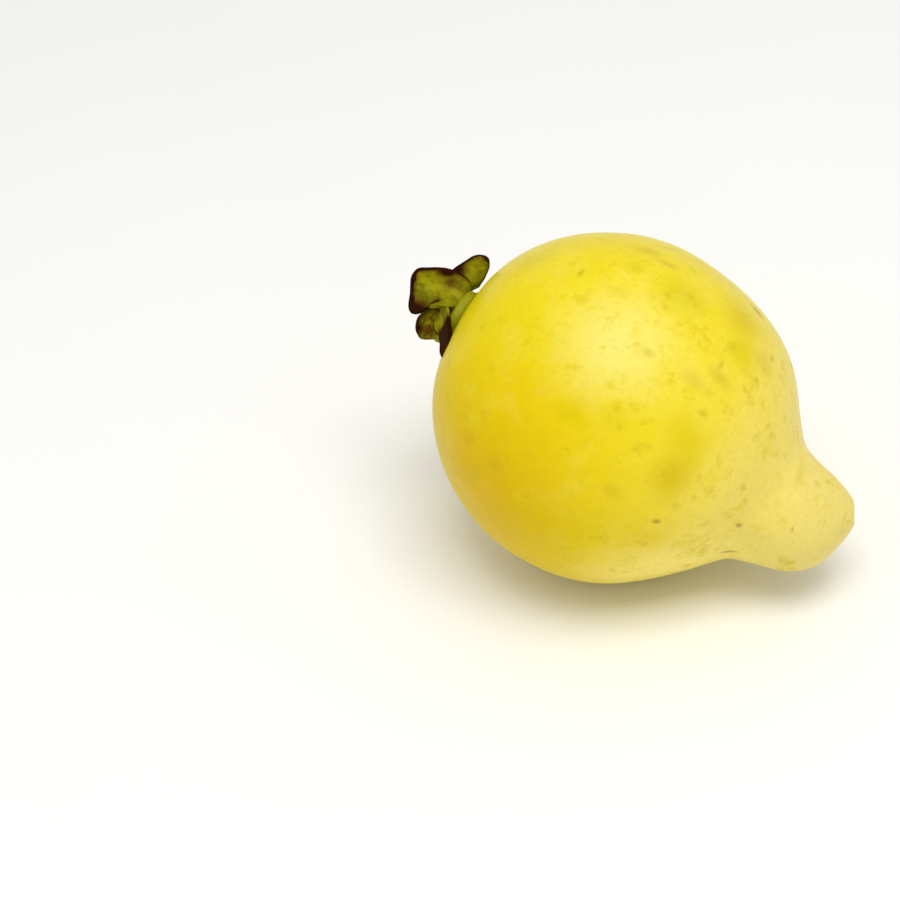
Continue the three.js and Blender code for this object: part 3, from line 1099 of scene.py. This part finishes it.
def scatterDots(place, spacing, reach, uneven):
    # soft dots about as far apart as the spacing, some of them hardly there
    inputs = {"Vector": place, "Scale": 1 / spacing, "Randomness": 1.0}
    distance = addNode(place.socket.id_data, "ShaderNodeTexVoronoi", inputs, "Distance")
    strength = separate(Wire(distance.socket.node.outputs["Color"]))[0]
    near = between(distance * spacing * (0.5 + uneven), reach, 0.0)
    return near * between(strength, 0.35, 1.0)


def stain(skin, kind, value, within=1.0):
    stainTint, share, low, high = stains[kind]
    return mixTints(between(value, low, high) * share * within, skin, stainTint)


def paintSpots(skin, spots, grewAt, breaking):
    # each spot fades out as far as it reaches, broken up by noise
    for along, around, reach, stretch, spotTint, share in spots:
        distance = fromSpot(grewAt, along, around, stretch) * breaking
        skin = mixTints(between(distance, reach * mm, 0.0) * share, skin, tint(*spotTint))
    return skin


def skinMaterial():
    look = skinLook
    material, shader, place = startMaterial("guavaSkin", Subsurface_Weight=0.08, Subsurface_Scale=2 * mm)
    shader.inputs["Subsurface Radius"].default_value = (1.0, 0.7, 0.25)
    grewAt = meshValue(place, "grewAt", "Vector")
    grewAlong = separate(grewAt)[0]
    wander = noiseAt(place, look["wanderSize"], 3.0, 0.55, seed=1.0)
    blotch = noiseAt(place, look["blotchSize"], 3.0, 0.55, seed=4.0)
    mottle = noiseAt(place, look["mottleSize"], 3.0, 0.6, seed=6.0)
    paler = noiseAt(place, look["paleSize"], 4.0, 0.6, seed=9.0)
    grain = noiseAt(place, look["grainSize"], 3.0, 0.65, seed=15.0)

    warped = grewAlong + (wander - 0.5) * look["wander"] + (blotch - 0.5) * (look["wander"] * 0.5)
    ripeness = (warped - look["goldPlace"]) / (look["creamPlace"] - look["goldPlace"])
    skin = ramp(ripeness, look["ripening"])
    # besides the skin's own colour, the patches paint in a highlight, a reflection of the floor and shade
    skin = paintSpots(skin, patchesAndPaintedLight, grewAt, 0.2 + blotch * 0.6 + mottle * 0.6 + grain * 0.4)
    skin = stain(skin, "blotch", blotch)
    skin = stain(skin, "paleBlotch", paler)
    skin = stain(skin, "grain", grain)
    skin = stain(skin, "fleck", grain * 0.4 + mottle * 0.6, between(blotch, 0.44, 0.6))
    skin = stain(skin, "smudge", mottle * 0.6 + blotch * 0.4)
    dots = scatterDots(place, look["dotSpacing"], look["dotReach"], mottle)
    skin = mixTints(dots * look["dotShare"], skin, look["dotTint"])
    skin = paintSpots(skin, marks, grewAt, 0.2 + mottle + grain * 0.6)

    # both ends are told by how far from the axis the unbent fruit grew
    girth = meshValue(place, "girth")
    flowerEnd = between(grewAlong, -34 * mm, -37 * mm)
    blotchFray, mottleFray = look["greenFray"]
    frayed = girth + (blotch - 0.5) * blotchFray + (mottle - 0.5) * mottleFray
    skin = stain(skin, "crownShade", frayed, flowerEnd)
    skin = stain(skin, "crownGreen", frayed, flowerEnd)
    disc = between(girth, *look["discEdge"]) * flowerEnd
    skin = mixTints(disc * between(mottle, 0.3, 0.6, 0.6, 1.0), skin, look["discBrown"])
    stemEnd = between(grewAlong, 50 * mm, 52 * mm)
    scar = between(girth + (mottle - 0.5) * look["scarFray"], *look["scarEdge"]) * stemEnd
    skin = mixTints(scar * between(grain, 0.3, 0.6, 0.7, 1.0), skin, look["scarBrown"])
    pith = scar * between(girth, *look["pithEdge"])
    skin = mixTints(pith * look["pithShare"], skin, look["discBrown"])
    feed(shader.inputs["Base Color"], skin)

    fromGold = fromSpot(grewAt, *look["goldSide"], 1.0)
    specular = between(fromGold, *look["goldFade"], look["specular"], look["goldSpecular"])
    feed(shader.inputs["Specular IOR Level"], specular)
    roughness = look["roughness"] + (mottle - 0.5) * 0.1 + (scar + disc) * look["bareRoughness"]
    feed(shader.inputs["Roughness"], roughness)
    pores = noiseAt(place, look["poreSize"], 2.0, 0.6, seed=12.0)
    addBump(shader, pores, look["poreDepth"], 0.5)
    addBump(shader, mottle, look["mottleDepth"], 0.5)
    return material


# floor and light

studio = {
    "floorSide": 6.0,
    "floorDrop": 0.05 * mm,
    "floorTint": (245, 245, 244),
    "floorShade": (243, 243, 242),
    "floorShadeSize": 60 * mm,
    "skyTint": (255, 254, 250),
    "skyStrength": 0.66,
    "keyDirection": (0.22, -0.25, 0.94),  # from the fruit to the lamp
    "keyDistance": 900 * mm,
    "keySize": (610 * mm, 435 * mm),
    "keyPower": 4.9,
}


def makeStudio():
    side = studio["floorSide"] / 2
    drop = -studio["floorDrop"]
    corners = [(-side, -side, drop), (side, -side, drop), (side, side, drop), (-side, side, drop)]
    mesh = bpy.data.meshes.new("floor")
    mesh.from_pydata(corners, [], [(0, 1, 2, 3)])
    material, shader, place = startMaterial("palePaper", Roughness=0.9, Specular_IOR_Level=0.1)
    shade = noiseAt(place, studio["floorShadeSize"], 2.0)
    paper = mixTints(shade, tint(*studio["floorTint"]), tint(*studio["floorShade"]))
    feed(shader.inputs["Base Color"], paper)
    mesh.materials.append(material)
    addObject("floor", mesh)

    sky = bpy.data.worlds.new("studioSky")
    sky.use_nodes = True
    background = sky.node_tree.nodes["Background"]
    background.inputs["Color"].default_value = tint(*studio["skyTint"])
    background.inputs["Strength"].default_value = studio["skyStrength"]
    bpy.context.scene.world = sky

    data = bpy.data.lights.new("softbox", "AREA")
    data.shape = "RECTANGLE"
    data.size, data.size_y = studio["keySize"]
    data.energy = studio["keyPower"]
    lamp = addObject("softbox", data)
    direction = Vector(studio["keyDirection"]).normalized()
    lookFrom(lamp, cadCentre + direction * studio["keyDistance"], cadCentre)
    bpy.context.scene.view_settings.view_transform = "Standard"
    print("floor and light set")


def makeGuava():
    body = makeBody(skinMaterial())
    crownTurn = Matrix.Rotation(-math.pi / 2, 4, "Y")
    crownFrame = lyingFrame(body) @ Matrix.Translation((-collarRim, 0, 0)) @ crownTurn

    leather = sepalMaterial()
    for number, values in enumerate(sepals, 1):
        sepal = makeSepal(number, values, crownFrame, leather)
        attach(sepal, "root")
        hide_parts(f"sepal_{number}")
    print("sepals:", len(sepals))

    dried = driedMaterial()
    discFrame = crownFrame @ Matrix.Translation((0, 0, blade["gap"] - collar["discDepth"]))
    remnants = ((makeStamens(discFrame, dried), "stamen_ring"), (makeStyle(discFrame, dried), "style"))
    for piece, node in remnants:
        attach(piece, "root")
        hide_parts(node)
    print("dried flower made")


makeCamera()
makeStudio()
makeGuava()
